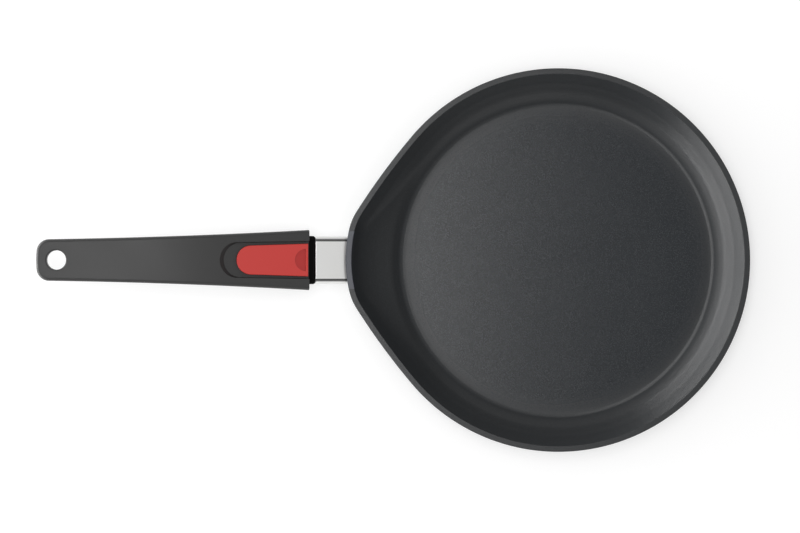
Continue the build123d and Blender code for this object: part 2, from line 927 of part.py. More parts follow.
with BuildPart() as return_springs:
    for offset in rail_offsets:
        with BuildLine() as coil:
            for start, middle_point, end, tangent, joint_tangent in coil_biarcs(offset):
                TangentArc(start, middle_point, tangent=tangent)
                TangentArc(middle_point, end, tangent=joint_tangent)
        wire = coil.wire()
        with BuildSketch(Plane(origin=wire @ 0, z_dir=wire % 0)) as wire_end:
            Circle(spring_wire_radius)
        sweep(wire_end.sketch, path=wire)
return_springs.part.label = "return_springs"
print("least gap between a spring's turns", round(coil_gap(), 2))

# Slider: two rails with legs and wedges, joined by two bridges with posts
with BuildPart() as slide_carrier:
    for offset in rail_offsets:
        plate(beam_bottom, beam_top, carrier_end, carrier_start, rail_width / 2, centre=offset)
        plate(
            carrier_bottom,
            beam_top,
            carrier_end,
            carrier_end + rail_leg_length,
            rail_width / 2,
            centre=offset,
        )
        plate(
            carrier_bottom,
            beam_top,
            carrier_start - wedge_flat_length,
            carrier_start,
            rail_width / 2,
            centre=offset,
        )
        with BuildSketch(side.offset(-offset)) as wedge:
            Polygon(
                (carrier_start, carrier_bottom),
                (carrier_start, carrier_bottom + wedge_lift),
                (carrier_start - wedge_flat_length, carrier_bottom + wedge_lift),
                (carrier_start - wedge_length, carrier_bottom),
                align=None,
            )
        extrude(wedge.sketch, amount=rail_width / 2, both=True)
    for bridge in (rear_bridge, front_bridge):
        plate(beam_bottom, beam_top, bridge, bridge + bridge_length, rail_centre)
        plate(beam_top, button_bottom, bridge, bridge + bridge_length, post_half_width)
    pin(
        beam_bottom,
        button_bottom,
        button_screw_radius + fine_gap,
        post_places,
        mode=Mode.SUBTRACT,
    )
    pin(
        beam_bottom,
        beam_bottom + button_screw_head_height,
        button_screw_head_radius + fine_gap,
        post_places,
        mode=Mode.SUBTRACT,
    )
    rod(carrier_end, carrier_end + rail_leg_length - fit_gap, rod_radius + fit_gap, mode=Mode.SUBTRACT)
slide_carrier.part.label = "slide_carrier"

with BuildPart() as button_screws:
    pin(beam_bottom, beam_bottom + button_screw_head_height, button_screw_head_radius, post_places)
    pin(
        beam_bottom + button_screw_head_height,
        button_bottom + button_screw_bite,
        button_screw_radius,
        post_places,
    )
    socket(beam_bottom, button_screw_drive_radius, post_places)
button_screws.part.label = "button_screws"

# Button
with BuildPart() as button_cap:
    with BuildSketch(deck.offset(button_bottom)):
        with BuildLine():
            tail_centre = button_rear + button_rear_half_width
            Polyline(
                (tail_centre, button_rear_half_width),
                (button_front, button_half_width),
                (button_front, -button_half_width),
                (tail_centre, -button_rear_half_width),
            )
            ThreePointArc(
                (tail_centre, -button_rear_half_width),
                (button_rear, 0),
                (tail_centre, button_rear_half_width),
            )
        make_face()
    extrude(amount=button_thickness)
    fillet(button_cap.faces().sort_by(Axis(mouth, upward))[-1].edges(), button_edge_radius)
    with BuildSketch(deck.offset(button_top)) as thumb_recess:
        with Locations((thumb_recess_front, 0)):
            Circle(thumb_recess_radius)
            Rectangle(
                thumb_recess_radius,
                2 * thumb_recess_radius,
                align=(Align.MAX, Align.CENTER),
                mode=Mode.INTERSECT,
            )
    extrude(thumb_recess.sketch, amount=-thumb_recess_depth, mode=Mode.SUBTRACT)
    pin(
        button_bottom,
        button_bottom + button_screw_bite,
        button_screw_radius + fine_gap,
        post_places,
        mode=Mode.SUBTRACT,
    )
button_cap.part.label = "button_cap"

for piece in (
    pan_body,
    neck_sleeve,
    tongue,
    lug_screws,
    mouth_seal,
    grip,
    socket_body,
    slide_cover,
    cover_screws,
    socket_screws,
    anti_rattle_spring,
    catch_leaf,
    leaf_rivets,
    guide_rods,
    return_springs,
    slide_carrier,
    button_screws,
    button_cap,
):
    export_step(piece.part, f"parts/{piece.part.label}.step")
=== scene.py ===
import json
import math

import bmesh
import bpy
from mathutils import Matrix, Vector


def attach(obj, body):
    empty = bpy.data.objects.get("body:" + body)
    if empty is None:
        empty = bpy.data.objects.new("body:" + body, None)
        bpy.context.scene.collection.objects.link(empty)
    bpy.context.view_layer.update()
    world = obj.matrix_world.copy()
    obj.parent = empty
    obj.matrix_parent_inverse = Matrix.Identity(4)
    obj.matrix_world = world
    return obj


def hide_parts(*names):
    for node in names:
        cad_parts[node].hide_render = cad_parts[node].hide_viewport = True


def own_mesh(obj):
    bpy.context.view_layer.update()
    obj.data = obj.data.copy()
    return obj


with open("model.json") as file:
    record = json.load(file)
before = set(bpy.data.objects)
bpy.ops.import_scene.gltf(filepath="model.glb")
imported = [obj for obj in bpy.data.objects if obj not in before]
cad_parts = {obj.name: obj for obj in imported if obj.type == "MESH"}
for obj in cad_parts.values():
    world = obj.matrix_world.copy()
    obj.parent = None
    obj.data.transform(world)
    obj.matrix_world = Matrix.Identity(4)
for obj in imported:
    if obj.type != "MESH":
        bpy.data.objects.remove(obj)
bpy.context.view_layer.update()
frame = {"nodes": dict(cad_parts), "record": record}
nodes = frame["nodes"]
mm = 0.001

# The pan's outline and wall, in millimetres
rim_radius = 140.0
rim_width = 4.4
hollow_radius = rim_radius - rim_width
nose_rise = 15.2
nose_radius = 102.8
nose_offset = rim_radius + nose_rise - nose_radius
nose_half_angle = math.radians(12.0)
corner_radius = 43.6
flank_radius = 506.0
wall_flare = 23.5
hollow_flare = 21.6
rim_height = 27.0
rim_edge_radius = 0.5
wall_top = rim_height - rim_edge_radius
floor_thickness = 7.0
floor_blend_width = 3.0
floor_blend_rise = 0.12
base_radius = rim_radius - wall_flare
base_groove_pitch = 14.0
base_groove_width = 1.6
base_groove_depth = 0.25
bare_base_height = 1.0
facet_allowance = 0.05

# Levels of the wall as shares of its height, of its flare and of the nose
outer_level_shares = [
    (0.00, 0.00, 0.00),
    (0.05, 0.12, 0.02),
    (0.12, 0.24, 0.10),
    (0.22, 0.36, 0.25),
    (0.34, 0.47, 0.52),
    (0.48, 0.60, 0.78),
    (0.64, 0.73, 0.94),
    (0.82, 0.87, 0.98),
    (1.00, 1.00, 1.00),
]
hollow_level_shares = [
    (0.00, 0.00, 0.00),
    (0.03, 0.10, 0.00),
    (0.09, 0.20, 0.02),
    (0.17, 0.30, 0.09),
    (0.26, 0.40, 0.32),
    (0.37, 0.50, 0.60),
    (0.49, 0.60, 0.82),
    (0.61, 0.70, 0.94),
    (0.74, 0.80, 0.99),
    (0.87, 0.90, 1.00),
    (1.00, 1.00, 1.00),
]

# Shares of a base groove's width and depth, of the floor blend's width and rise, of the floor's radius
groove_shares = [(-0.5, 0.0), (-0.25, 0.85), (0.0, 1.0), (0.25, 0.85), (0.5, 0.0)]
floor_blend_shares = [(0.0, 0.0), (0.5, 0.25)]
floor_ring_shares = [0.97, 0.9, 0.75, 0.5, 0.25, 0.0]

# The neck, measured from the middle of the grip's mouth along an axis that falls towards the pan
neck_slope = math.radians(12.0)
mouth = Vector((-183.9, 0.0, 21.5))
along = Vector((math.cos(neck_slope), 0.0, -math.sin(neck_slope)))
upward = Vector((math.sin(neck_slope), 0.0, math.cos(neck_slope)))
lug_start = 5.4
lug_end = 31.6
lug_half_width = 15.6
lug_half_height = 5.8
lug_corner_radius = 0.6
slot_half_width = 13.1
slot_low = -4.1
slot_high = 1.1
slot_end = 25.1
slot_corner_radius = 0.3
boss_start = 31.55
boss_half_width = 17.0
boss_half_height = 7.2
boss_length = 20.0
boss_bottom_rise = 5.6
boss_corner_radius = 2.6

# The button and the sleeve's grooves, in millimetres
button_face_rise = 12.0
thumb_recess_depth = 1.2
sleeve_groove_start = 13.6
sleeve_groove_end = 15.25

# How finely the meshes are divided, how far they are welded in millimetres, and where they crease
outline_steps = 481
wall_steps = 5
corner_steps = 5
side_steps = 8
wall_search_steps = 24
bowl_weld = 0.01
node_weld = 0.002
bowl_crease = math.radians(20.0)
node_crease = math.radians(30.0)
neck_root_crease = math.radians(40.0)

# Where the coating changes and where the nose's rim gets a painted highlight, in millimetres from the
# pan's centre, beside its axis or below its rim
floor_finish_full = 98.0
floor_finish_start = 122.0
nose_rim_start = -140.0
nose_rim_half_width = 21.0
nose_rim_depth = 0.35

# Colours
coating_colour = (0.015, 0.0165, 0.018)
coating_floor_colour = (0.0055, 0.0085, 0.0120)
coating_fleck_colour = (0.0275, 0.0305, 0.0340)
# The next colour is a painted highlight: a paler coating on the nose's rim for the light its flat catches
nose_rim_highlight_colour = (0.056, 0.060, 0.074)
bare_base_colour = (0.62, 0.62, 0.63)
button_colour = (0.585, 0.030, 0.023)
# The next colour is painted shade on the floor of the button's thumb recess
thumb_recess_shade_colour = (0.45, 0.010, 0.007)
sleeve_colour = (0.74, 0.74, 0.73)
# The next colour is painted shade in the long grooves along the sleeve's sides
sleeve_groove_shade_colour = (0.11, 0.11, 0.11)

# Roughness of the pan, and how the flecks change it and show on the wall
wall_roughness = 0.34
floor_roughness = 0.25
fleck_gloss = 0.05
wall_fleck_strength = 0.4
bare_base_roughness = 0.36

# The floor under the pan and the room: greys, levels of light and sizes in metres
floor_seen_grey = 0.60
floor_bounce_grey = 0.5
floor_glow = 0.47
floor_half_width = 6.0
floor_level = -0.0001
room_level = 0.55
room_zenith_share = 0.42
room_right_share = 0.25
room_left_glow = 0.8

# The camera, high above the part's middle: place, lens and film in millimetres, reach in metres
camera_place = (-115.5, -4.7, 2100.0)
camera_lens = 127.9
camera_film_width = 36.0
camera_reach = 20.0


# Nodes, as short calls

NUMBER = "NodeSocketFloat"
INTEGER = "NodeSocketInt"
VECTOR = "NodeSocketVector"
GEOMETRY = "NodeSocketGeometry"
MATERIAL = "NodeSocketMaterial"


def add_node(tree, kind, inputs=None, **settings):
    """Adds a node, sets it, and links or fills the inputs that are named or numbered."""
    made = tree.nodes.new(kind)
    for name, value in settings.items():
        setattr(made, name, value)
    for key, value in (inputs or {}).items():
        if isinstance(value, bpy.types.NodeSocket):
            tree.links.new(value, made.inputs[key])
        else:
            made.inputs[key].default_value = value
    return made


def calc(tree, operation, *values):
    """A number worked out from other numbers."""
    return add_node(tree, "ShaderNodeMath", dict(enumerate(values)), operation=operation).outputs[0]


def calc_vector(tree, operation, *values):
    """A vector worked out from other vectors; SCALE takes its factor last."""
    inputs = dict(enumerate(values))
    if operation == "SCALE":
        inputs = {0: values[0], "Scale": values[1]}
    return add_node(tree, "ShaderNodeVectorMath", inputs, operation=operation).outputs[0]


def measure(tree, operation, *vectors):
    """A number worked out from vectors, such as a length."""
    made = add_node(tree, "ShaderNodeVectorMath", dict(enumerate(vectors)), operation=operation)
    return made.outputs["Value"]


def split(tree, vector):
    """A vector's three parts."""
    return add_node(tree, "ShaderNodeSeparateXYZ", {0: vector}).outputs


def join(tree, x, y, z):
    """A vector of three parts."""
    return add_node(tree, "ShaderNodeCombineXYZ", {0: x, 1: y, 2: z}).outputs[0]


def remap(tree, value, low, high, to_low=0.0, to_high=1.0):
    """A value moved smoothly from one range to another, held at both ends."""
    inputs = {"Value": value, "From Min": low, "From Max": high, "To Min": to_low, "To Max": to_high}
    return add_node(tree, "ShaderNodeMapRange", inputs, interpolation_type="SMOOTHSTEP").outputs[0]


def between(tree, mask, first, second):
    """A number between two numbers."""
    return add_node(tree, "ShaderNodeMix", {"Factor": mask, 2: first, 3: second}).outputs[0]


def opaque(colour):
    """A plain colour with its alpha, or a colour from other nodes as it is."""
    return colour if isinstance(colour, bpy.types.NodeSocket) else (*colour, 1.0)


def blend(tree, mask, first, second):
    """A colour between two colours."""
    inputs = {"Factor": mask, 6: opaque(first), 7: opaque(second)}
    return add_node(tree, "ShaderNodeMix", inputs, data_type="RGBA").outputs[2]


def new_tree(name, kind, inputs, outputs):
    """A node group whose inputs and outputs have names and kinds, with the sockets at its two ends."""
    tree = bpy.data.node_groups.new(name, kind)
    for way, sockets in (("INPUT", inputs), ("OUTPUT", outputs)):
        for title, socket in sockets.items():
            tree.interface.new_socket(title, in_out=way, socket_type=socket)
    given = tree.nodes.new("NodeGroupInput").outputs
    result = tree.nodes.new("NodeGroupOutput").inputs
    return tree, given, result


# Effects that several finishes share


def give_noise(tree, given, result, place, scale, detail):
    """Puts out noise as a value about zero, times the group's strength, and returns it as a height."""
    inputs = {"Vector": place, "Scale": scale, "Detail": detail}
    noise = add_node(tree, "ShaderNodeTexNoise", inputs).outputs[0]
    centred = calc(tree, "SUBTRACT", noise, 0.5)
    tree.links.new(calc(tree, "MULTIPLY", centred, given["Strength"]), result["Value"])
    return noise


def make_grain():
    """Fine cloudy grain: a value about zero, and a height for the surface's relief."""
    tree, given, result = new_tree(
        "fine_grain",
        "ShaderNodeTree",
        {"Place": VECTOR, "Size": NUMBER, "Strength": NUMBER},
        {"Value": NUMBER, "Height": NUMBER},
    )
    scale = calc(tree, "DIVIDE", 1.0, given["Size"])
    height = give_noise(tree, given, result, given["Place"], scale, detail=3.0)
    tree.links.new(height, result["Height"])
    return tree


def make_brushing():
    """Long fine scratches, drawn out along one axis by the scale that comes in."""
    tree, given, result = new_tree(
        "brushing",
        "ShaderNodeTree",
        {"Place": VECTOR, "Scale": VECTOR, "Strength": NUMBER},
        {"Value": NUMBER, "Height": NUMBER},
    )
    drawn = calc_vector(tree, "MULTIPLY", given["Place"], given["Scale"])
    height = give_noise(tree, given, result, drawn, scale=1.0, detail=4.0)
    tree.links.new(height, result["Height"])
    return tree


def make_handling():
    """Broad faint patches, as use and cleaning leave them: a change to add to a roughness."""
    tree, given, result = new_tree(
        "handling",
        "ShaderNodeTree",
        {"Place": VECTOR, "Size": NUMBER, "Strength": NUMBER},
        {"Value": NUMBER},
    )
    scale = calc(tree, "DIVIDE", 1.0, given["Size"])
    give_noise(tree, given, result, given["Place"], scale, detail=5.0)
    return tree


def make_flecks():
    """Scattered flecks: a mask that is 1 in the middle of some cells and falls to 0 round them."""
    tree, given, result = new_tree(
        "flecks",
        "ShaderNodeTree",
        {"Place": VECTOR, "Size": NUMBER, "Share": NUMBER},
        {"Mask": NUMBER},
    )
    scale = calc(tree, "DIVIDE", 1.0, given["Size"])
    cells = add_node(tree, "ShaderNodeTexVoronoi", {"Vector": given["Place"], "Scale": scale}).outputs
    chosen = calc(tree, "LESS_THAN", split(tree, cells["Color"])[0], given["Share"])
    core = remap(tree, cells["Distance"], low=0.25, high=0.55, to_low=1.0, to_high=0.0)
    tree.links.new(calc(tree, "MULTIPLY", chosen, core), result["Mask"])
    return tree


grain = make_grain()
brushing = make_brushing()
handling = make_handling()
flecks = make_flecks()


# Finishes


def start_material(name, **constants):
    """A material with its surface shader, its constants and its object coordinates."""
    material = bpy.data.materials.new(name)
    material.use_nodes = True
    tree = material.node_tree
    shader = tree.nodes["Principled BSDF"]
    for title, value in constants.items():
        shader.inputs[title].default_value = value
    place = add_node(tree, "ShaderNodeTexCoord").outputs["Object"]
    return material, tree, shader, place


def use_effect(tree, effect, output, **inputs):
    """One output of a shared effect, with its inputs set."""
    return add_node(tree, "ShaderNodeGroup", inputs, node_tree=effect).outputs[output]


def shade(tree, colour, change):
    """A colour made lighter or darker by a value about zero."""
    return calc_vector(tree, "SCALE", colour, calc(tree, "ADD", 1.0, change))


def relief(tree, shader, height, depth):
    """Gives the shader's normal a relief of a real depth."""
    bump = add_node(tree, "ShaderNodeBump", {"Height": height, "Distance": depth, "Strength": 1.0})
    tree.links.new(bump.outputs[0], shader.inputs["Normal"])


def moulded(name, colour, roughness, grain_size, grain_depth, tone=0.10, **constants):
    """A moulded plastic or rubber: fine spark-eroded grain and faint broad patches."""
    material, tree, shader, place = start_material(name, **constants)
    value = use_effect(tree, grain, "Value", Place=place, Size=grain_size, Strength=tone)
    patches = use_effect(tree, handling, "Value", Place=place, Size=30 * mm, Strength=0.08)
    tree.links.new(shade(tree, colour, value), shader.inputs["Base Color"])
    tree.links.new(calc(tree, "ADD", roughness, patches), shader.inputs["Roughness"])
    height = use_effect(tree, grain, "Height", Place=place, Size=grain_size)
    relief(tree, shader, height, grain_depth)
    return material


def drawn_steel(name, colour, roughness, scale):
    """A steel with fine scratches, drawn out or close together along each axis by the scale."""
    material, tree, shader, place = start_material(name, Metallic=1.0)
    value = use_effect(tree, brushing, "Value", Place=place, Scale=scale, Strength=0.12)
    patches = use_effect(tree, handling, "Value", Place=place, Size=12 * mm, Strength=0.10)
    tree.links.new(shade(tree, colour, value), shader.inputs["Base Color"])
    rough = calc(tree, "ADD", calc(tree, "ADD", roughness, value), patches)
    tree.links.new(rough, shader.inputs["Roughness"])
    height = use_effect(tree, brushing, "Height", Place=place, Scale=scale)
    relief(tree, shader, height, depth=0.003 * mm)
    return material


def repaint(material, mask_at, colour):
    """Gives a finish another colour wherever a mask, worked out from the place, is 1."""
    tree = material.node_tree
    base_colour = tree.nodes["Principled BSDF"].inputs["Base Color"]
    plain = base_colour.links[0].from_socket
    place = add_node(tree, "ShaderNodeTexCoord").outputs["Object"]
    tree.links.new(blend(tree, mask_at(tree, place), plain, colour), base_colour)
    return material


def in_painted_recess_shade(tree, place):
    """1 wherever the place is further below the button's face than half of the thumb recess's depth: where
    the recess's shade is painted in.
    """
    from_mouth = calc_vector(tree, "SUBTRACT", place, tuple(mouth * mm))
    rise = measure(tree, "DOT_PRODUCT", from_mouth, tuple(upward))
    return calc(tree, "LESS_THAN", rise, (button_face_rise - thumb_recess_depth / 2) * mm)


def in_painted_groove_shade(tree, place):
    """1 between the two walls of the groove along each side of the sleeve: where the groove's shade is
    painted in.
    """
    across = calc(tree, "ABSOLUTE", split(tree, place)[1])
    after = calc(tree, "GREATER_THAN", across, sleeve_groove_start * mm)
    before = calc(tree, "LESS_THAN", across, sleeve_groove_end * mm)
    return calc(tree, "MULTIPLY", after, before)


def make_button_red():
    """The button's satin moulding, with painted shade: a darker red on the floor of the thumb recess."""
    material = moulded(
        "button_red",
        colour=button_colour,
        roughness=0.38,
        grain_size=0.3 * mm,
        grain_depth=0.006 * mm,
        tone=0.08,
    )
    return repaint(material, in_painted_recess_shade, thumb_recess_shade_colour)


def make_sleeve_steel():
    """The sleeve's brushed steel, with painted shade: dark in the long grooves of its faces."""
    material = drawn_steel(
        "stainless", colour=sleeve_colour, roughness=0.36, scale=(60.0, 5000.0, 5000.0)
    )
    return repaint(material, in_painted_groove_shade, sleeve_groove_shade_colour)


def coating_masks(tree, place):
    """Where the cooking floor is, and where the nose's rim is painted paler as a highlight."""
    x, y, z = split(tree, place)
    radius = measure(tree, "LENGTH", join(tree, x, y, 0.0))
    on_floor = remap(tree, radius, floor_finish_full * mm, floor_finish_start * mm, 1.0, 0.0)
    on_rim = calc(tree, "GREATER_THAN", z, (rim_height - nose_rim_depth) * mm)
    beside = calc(tree, "LESS_THAN", calc(tree, "ABSOLUTE", y), nose_rim_half_width * mm)
    before = calc(tree, "LESS_THAN", x, nose_rim_start * mm)
    on_nose_rim_highlight = calc(tree, "MULTIPLY", on_rim, calc(tree, "MULTIPLY", beside, before))
    return on_floor, on_nose_rim_highlight


def make_coating():
    """The pan's flecked coating: darker under stronger flecks on the floor, with a painted highlight on
    the nose's rim.
    """
    material, tree, shader, place = start_material("coating", IOR=1.4)
    on_floor, on_nose_rim_highlight = coating_masks(tree, place)
    flecked = use_effect(tree, flecks, "Mask", Place=place, Size=0.8 * mm, Share=0.5)
    flecked = calc(tree, "MULTIPLY", flecked, between(tree, on_floor, wall_fleck_strength, 1.0))
    colour = blend(tree, on_floor, coating_colour, coating_floor_colour)
    colour = blend(tree, flecked, colour, coating_fleck_colour)
    # A painted highlight on the nose's rim
    colour = blend(tree, on_nose_rim_highlight, colour, nose_rim_highlight_colour)
    value = use_effect(tree, grain, "Value", Place=place, Size=0.6 * mm, Strength=0.5)
    tree.links.new(shade(tree, colour, value), shader.inputs["Base Color"])
    patches = use_effect(tree, handling, "Value", Place=place, Size=45 * mm, Strength=0.05)
    rough = between(tree, on_floor, wall_roughness, floor_roughness)
    rough = calc(tree, "SUBTRACT", rough, calc(tree, "MULTIPLY", flecked, fleck_gloss))
    tree.links.new(calc(tree, "ADD", rough, patches), shader.inputs["Roughness"])
    height = use_effect(tree, grain, "Height", Place=place, Size=0.9 * mm)
    relief(tree, shader, height, depth=0.05 * mm)
    return material


def make_turned_base():
    """Bare cast aluminium, turned on a lathe: fine rings about the base's centre."""
    material, tree, shader, place = start_material("turned_base", Metallic=1.0)
    rings = add_node(
        tree,
        "ShaderNodeTexWave",
        {"Vector": place, "Scale": 250.0, "Distortion": 0.15, "Detail": 2.0},
        wave_type="RINGS",
        rings_direction="Z",
    ).outputs["Fac"]
    value = use_effect(tree, grain, "Value", Place=place, Size=0.8 * mm, Strength=0.25)
    tree.links.new(shade(tree, bare_base_colour, value), shader.inputs["Base Color"])
    tree.links.new(calc(tree, "ADD", bare_base_roughness, value), shader.inputs["Roughness"])
    relief(tree, shader, rings, depth=0.02 * mm)
    return material


coating = make_coating()
turned_base = make_turned_base()
finishes = {
    "stainless": make_sleeve_steel(),
    "bar_steel": drawn_steel(
        "bar_steel", colour=(0.52, 0.52, 0.52), roughness=0.34, scale=(120.0, 2500.0, 2500.0)
    ),
    "screw_steel": drawn_steel(
        "screw_steel", colour=(0.48, 0.48, 0.50), roughness=0.32, scale=(1500.0, 1500.0, 1500.0)
    ),
    "spring_steel": drawn_steel(
        "spring_steel", colour=(0.30, 0.31, 0.34), roughness=0.28, scale=(900.0, 3000.0, 3000.0)
    ),
    "seal_black": moulded(
        "seal_black",
        colour=(0.001, 0.001, 0.001),
        roughness=0.80,
        grain_size=0.4 * mm,
        grain_depth=0.010 * mm,
        IOR=1.2,
    ),
    "grip_moulding": moulded(
        "grip_moulding",
        colour=(0.030, 0.030, 0.030),
        roughness=0.42,
        grain_size=0.35 * mm,
        grain_depth=0.012 * mm,
        IOR=1.42,
    ),
    "cartridge_plastic": moulded(
        "cartridge_plastic",
        colour=(0.018, 0.018, 0.019),
        roughness=0.5,
        grain_size=0.6 * mm,
        grain_depth=0.02 * mm,
    ),
    "carrier_plastic": moulded(
        "carrier_plastic",
        colour=(0.62, 0.60, 0.54),
        roughness=0.4,
        grain_size=0.8 * mm,
        grain_depth=0.01 * mm,
        tone=0.05,
    ),
    "button_red": make_button_red(),
}


# The bowl's profile, in millimetres: stations of outline radius, share of the nose and height


def smooth_through(points, steps):
    """A smooth line of points that passes through the given ones."""
    ends = [points[0] * 2 - points[1]] + points + [points[-1] * 2 - points[-2]]
    line = []
    for before, first, second, after in zip(ends, ends[1:], ends[2:], ends[3:]):
        for step in range(steps):
            t = step / steps
            line.append(
                (
                    first * 2
                    + (second - before) * t
                    + (before * 2 - first * 5 + second * 4 - after) * t**2
                    + (first * 3 - before - second * 3 + after) * t**3
                )
                / 2
            )
    return line + [points[-1]]


def wall_levels(shares, radius, flare, low, high):
    """Stations at the wall's levels."""
    return [
        Vector((radius - flare * (1 - spread), nose, low + height * (high - low)))
        for height, spread, nose in shares
    ]


def edge_stations(radius, inset):
    """Stations that round one edge of the rim over, from the wall up to the rim's flat."""
    turns = [math.pi / 2 * step / corner_steps for step in range(1, corner_steps + 1)]
    return [
        Vector((radius - inset * (1 - math.cos(turn)), 1.0, wall_top + rim_edge_radius * math.sin(turn)))
        for turn in turns
    ]


def base_stations():
    """Stations of the turned base, from its centre out, with a shallow groove at every pitch."""
    stations = [Vector((0.0, 0.0, 0.0))]
    for groove in range(1, int(base_radius / base_groove_pitch) + 1):
        middle = groove * base_groove_pitch
        for share, depth in groove_shares:
            stations.append(Vector((middle + share * base_groove_width, 0.0, depth * base_groove_depth)))
    return stations


def hollow_stations():
    """Stations of the hollow, from the flat floor over its blend and up the wall."""
    levels = wall_levels(hollow_level_shares, hollow_radius, hollow_flare, floor_thickness, wall_top)
    edge = levels[0].x
    levels[0].z += floor_blend_rise
    blended = [
        Vector((edge - floor_blend_width * (1 - share), 0.0, floor_thickness + floor_blend_rise * rise))
        for share, rise in floor_blend_shares
    ]
    return blended + levels


def bowl_profile():
    """The whole profile, from the base's centre up the wall, over the rim and down to the floor."""
    outer_radius = rim_radius - facet_allowance
    outer = wall_levels(outer_level_shares, outer_radius, wall_flare, 0.0, wall_top)
    hollow = hollow_stations()
    floor = [Vector((hollow[0].x * share, 0.0, floor_thickness)) for share in floor_ring_shares]
    return (
        base_stations()
        + smooth_through(outer, wall_steps)
        + edge_stations(outer_radius, rim_edge_radius)
        + edge_stations(hollow_radius, -rim_edge_radius)[::-1]
        + smooth_through(hollow, wall_steps)[::-1]
        + floor
    )


def outline_arcs():
    """The nose, corner and flank arcs in millimetres: centre, radius and the turn where each ends."""
    nose_centre = Vector((nose_offset, 0.0))
    nose_end = Vector((math.cos(nose_half_angle), math.sin(nose_half_angle)))
    corner_centre = nose_centre + nose_end * (nose_radius - corner_radius)
    reach = corner_centre.length
    offset = flank_radius - rim_radius
    apart = flank_radius - corner_radius
    bearing = math.acos((offset**2 + reach**2 - apart**2) / (2 * offset * reach))
    flank_turn = math.atan2(corner_centre.y, corner_centre.x) - bearing
    flank_centre = Vector((math.cos(flank_turn), math.sin(flank_turn))) * offset
    line = corner_centre - flank_centre
    return [
        (nose_centre, nose_radius, nose_half_angle),
        (corner_centre, corner_radius, math.atan2(line.y, line.x)),
        (flank_centre, flank_radius, flank_turn + math.pi),
    ]


# The bowl's mesh: the profile carried round the outline's arcs


def bowl_inputs():
    """The names and kinds of the bowl tree's inputs."""
    inputs = {"Profile": GEOMETRY, "Steps": INTEGER}
    for arc in ("Nose", "Corner", "Flank"):
        inputs[arc + " Centre"] = VECTOR
        inputs[arc + " Shrink"] = NUMBER
        inputs[arc + " End"] = NUMBER
    for title in ("Base Radius", "Base Height", "Weld", "Crease"):
        inputs[title] = NUMBER
    for title in ("Coating", "Base"):
        inputs[title] = MATERIAL
    return inputs


def profile_grid(tree, given):
    """A flat grid, each point's signed turn round the bowl, and its station in the profile."""
    points = add_node(tree, "GeometryNodeAttributeDomainSize", {"Geometry": given["Profile"]}).outputs
    last = calc(tree, "SUBTRACT", points["Point Count"], 1.0)
    grid = add_node(
        tree,
        "GeometryNodeMeshGrid",
        {
            "Size X": math.tau,
            "Size Y": last,
            "Vertices X": given["Steps"],
            "Vertices Y": points["Point Count"],
        },
    ).outputs["Mesh"]
    place = add_node(tree, "GeometryNodeInputPosition").outputs[0]
    x, y, _ = split(tree, place)
    row = calc(tree, "ROUND", calc(tree, "ADD", y, calc(tree, "DIVIDE", last, 2.0)))
    sample = add_node(
        tree,
        "GeometryNodeSampleIndex",
        {"Geometry": given["Profile"], "Value": place, "Index": row},
        data_type="FLOAT_VECTOR",
    )
    return grid, x, split(tree, sample.outputs[0])


def choose_arc(tree, turn, chosen, centre, shrink, end, direction):
    """Takes one arc's shift of the outline wherever the turn comes before that arc's end."""
    inwards = calc_vector(tree, "SCALE", direction, shrink)
    shift = calc_vector(tree, "SUBTRACT", centre, inwards)
    before_end = calc(tree, "LESS_THAN", turn, end)
    inputs = {"Switch": before_end, "False": chosen, "True": shift}
    return add_node(tree, "GeometryNodeSwitch", inputs, input_type="VECTOR").outputs[0]


def carried_place(tree, given, signed_turn, station):
    """Where a point of the grid goes: its station's radius and height, at its turn of the outline."""
    radius, nose, height = station
    turn = calc(tree, "ABSOLUTE", signed_turn)
    direction = join(tree, calc(tree, "COSINE", turn), calc(tree, "SINE", turn), 0.0)
    shift = join(tree, 0.0, 0.0, 0.0)
    for arc in ("Flank", "Corner", "Nose"):
        ends = [given[arc + part] for part in (" Centre", " Shrink", " End")]
        shift = choose_arc(tree, turn, shift, *ends, direction)
    round_place = calc_vector(tree, "SCALE", direction, radius)
    outline = calc_vector(tree, "ADD", round_place, calc_vector(tree, "SCALE", shift, nose))
    ahead, aside, _ = split(tree, outline)
    x = calc(tree, "MULTIPLY", ahead, -1.0)
    y = calc(tree, "MULTIPLY", aside, calc(tree, "SIGN", signed_turn))
    return join(tree, x, y, height)


def keep_creases(tree, mesh, crease):
    """Shades an edge sharp where its faces meet at more than the crease's angle."""
    angle = add_node(tree, "GeometryNodeInputMeshEdgeAngle").outputs["Unsigned Angle"]
    sharp = calc(tree, "GREATER_THAN", angle, crease)
    inputs = {"Geometry": mesh, "Selection": sharp, "Shade Smooth": False}
    return add_node(tree, "GeometryNodeSetShadeSmooth", inputs, domain="EDGE").outputs[0]


def finished_bowl(tree, given, mesh):
    """The bowl with its seam and poles closed, its creases kept and its base bare."""
    merged = add_node(tree, "GeometryNodeMergeByDistance", {"Geometry": mesh, "Distance": given["Weld"]})
    flipped = add_node(tree, "GeometryNodeFlipFaces", {"Mesh": merged.outputs[0]})
    creased = keep_creases(tree, flipped.outputs[0], given["Crease"])
    real = add_node(tree, "GeometryNodeRealizeInstances", {"Geometry": creased})
    place = add_node(tree, "GeometryNodeInputPosition").outputs[0]
    inside = calc(tree, "LESS_THAN", measure(tree, "LENGTH", place), given["Base Radius"])
    low = calc(tree, "LESS_THAN", split(tree, place)[2], given["Base Height"])
    on_base = calc(tree, "MULTIPLY", inside, low)
    inputs = {"Geometry": real.outputs[0], "Material": given["Coating"]}
    coated = add_node(tree, "GeometryNodeSetMaterial", inputs)
    inputs = {"Geometry": coated.outputs[0], "Selection": on_base, "Material": given["Base"]}
    return add_node(tree, "GeometryNodeSetMaterial", inputs).outputs[0]


